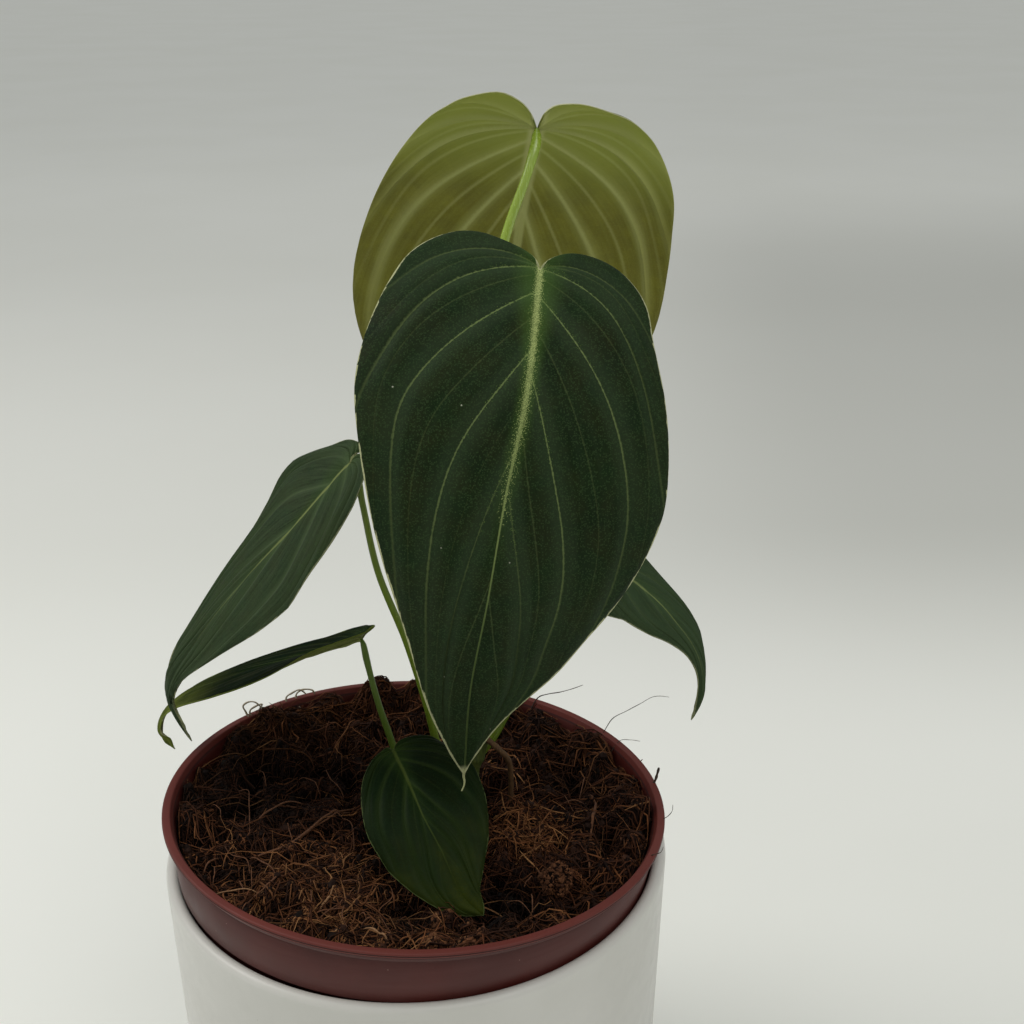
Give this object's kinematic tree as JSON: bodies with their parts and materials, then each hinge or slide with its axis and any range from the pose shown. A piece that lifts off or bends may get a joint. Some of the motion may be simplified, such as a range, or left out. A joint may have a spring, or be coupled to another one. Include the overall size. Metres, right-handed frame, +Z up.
{
  "type": "potted philodendron melanochrysum",
  "caption": "Young velvet-leaved aroid house plant with hanging heart-shaped leaves, rooted in coir in a brown nursery pot that stands tilted in a round white cover pot.",
  "frame": {"origin": "centre of the cover pot's flat underside", "axes": "+Z up along the cover pot's axis; the viewer stands at -Y, so +X is to the right and the largest leaf faces -Y"},
  "size_m": [0.1376, 0.1369, 0.2696],
  "materials": {
    "white_glaze": "satin white glaze",
    "terracotta_plastic": "moulded red-brown plastic with a soft sheen",
    "coir": "damp coir and bark crumbs with loose fibres",
    "velvet_leaf": "velvety dark green with pale veins and a cream margin",
    "young_leaf": "olive underside of a young leaf with raised pale ribs",
    "petiole_green": "smooth lime to olive green",
    "stem_green": "olive green with dry brown sheath remains",
    "root_brown": "dry brown root skin"
  },
  "bodies": {
    "root": {"cover_pot": "white_glaze", "nursery_pot": "terracotta_plastic", "soil": "coir", "stem": "stem_green", "aerial_root": "root_brown", "leaf_back": "young_leaf", "petiole_back": "petiole_green", "leaf_front": "velvet_leaf", "petiole_front": "petiole_green", "leaf_left": "velvet_leaf", "petiole_left": "petiole_green", "leaf_left_low": "velvet_leaf", "petiole_left_low": "petiole_green", "leaf_right": "velvet_leaf", "petiole_right": "petiole_green", "leaf_small": "velvet_leaf", "petiole_small": "petiole_green"}
  },
  "joints": []
}
